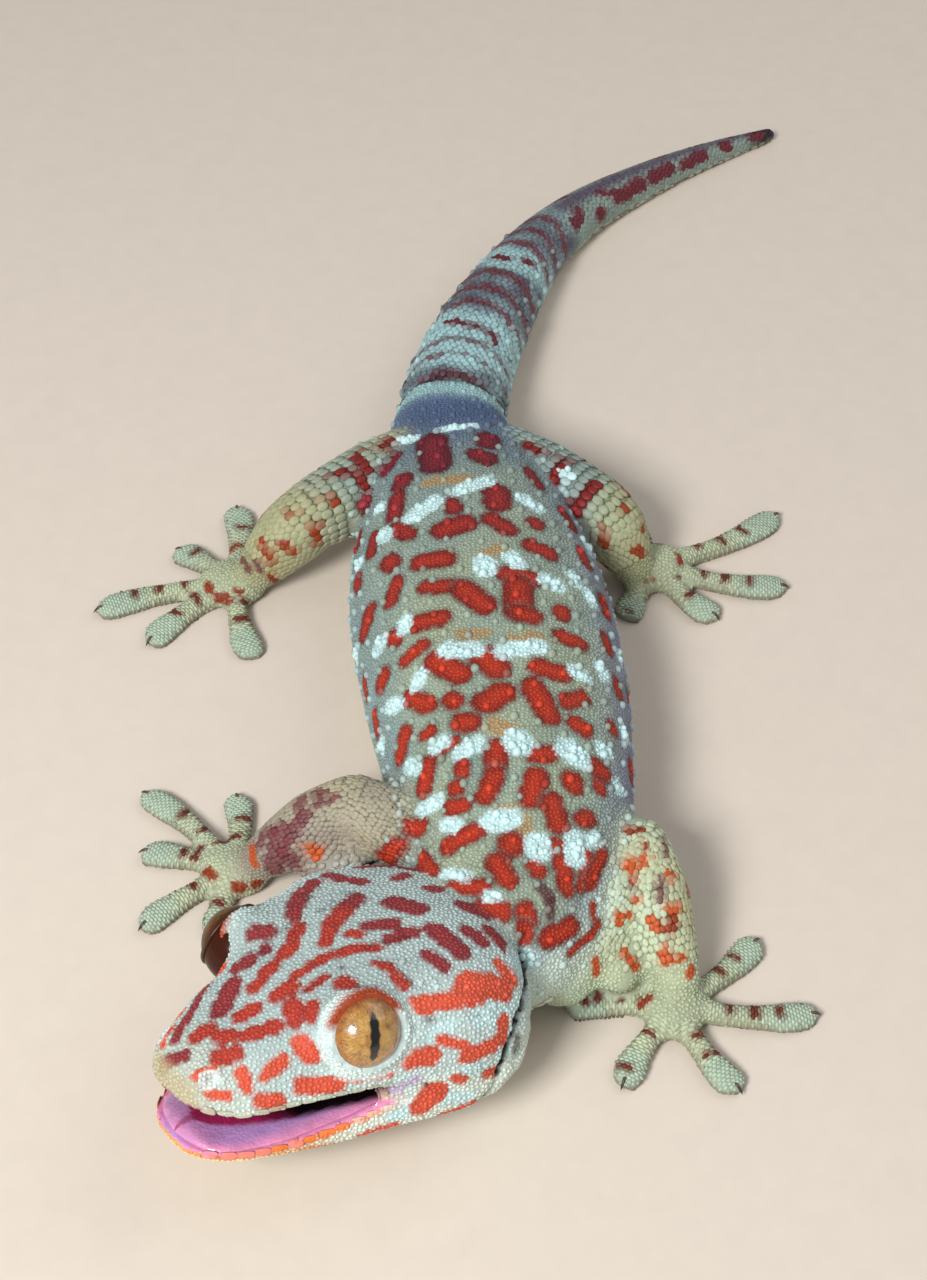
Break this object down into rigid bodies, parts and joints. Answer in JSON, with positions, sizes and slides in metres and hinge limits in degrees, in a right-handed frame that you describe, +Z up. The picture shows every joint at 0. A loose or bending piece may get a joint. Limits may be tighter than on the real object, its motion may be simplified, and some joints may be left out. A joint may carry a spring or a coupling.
{
  "type": "tokay gecko",
  "caption": "Life-size still tokay gecko with a blotched tubercled skin, resting on the floor, head turned to its right and mouth a little open.",
  "frame": {"origin": "on the floor under the middle of the belly, in the belly's flat", "axes": "+Z up, +Y along the body towards the tail, the head points to -Y, +X to the gecko's left"},
  "size_m": [0.1232, 0.2364, 0.031],
  "materials": {
    "skin": "dry granular skin, blue-grey with orange-red blotches and white tubercles",
    "toes": "dry pale green skin with brown bars",
    "mouth_lining": "moist pink to violet lining",
    "eye": "wet gold iris with a black slit pupil"
  },
  "bodies": {
    "root": {"head": "skin", "lower_jaw": "skin", "tongue": "mouth_lining", "eye_left": "eye", "eye_right": "eye", "neck": "skin", "torso": "skin", "tail_base": "skin", "tail_middle": "skin", "tail_tip": "skin", "upper_arm_left": "skin", "forearm_left": "skin", "hand_left": "toes", "upper_arm_right": "skin", "forearm_right": "skin", "hand_right": "toes", "thigh_left": "skin", "shank_left": "skin", "foot_left": "toes", "thigh_right": "skin", "shank_right": "skin", "foot_right": "toes"}
  },
  "joints": []
}
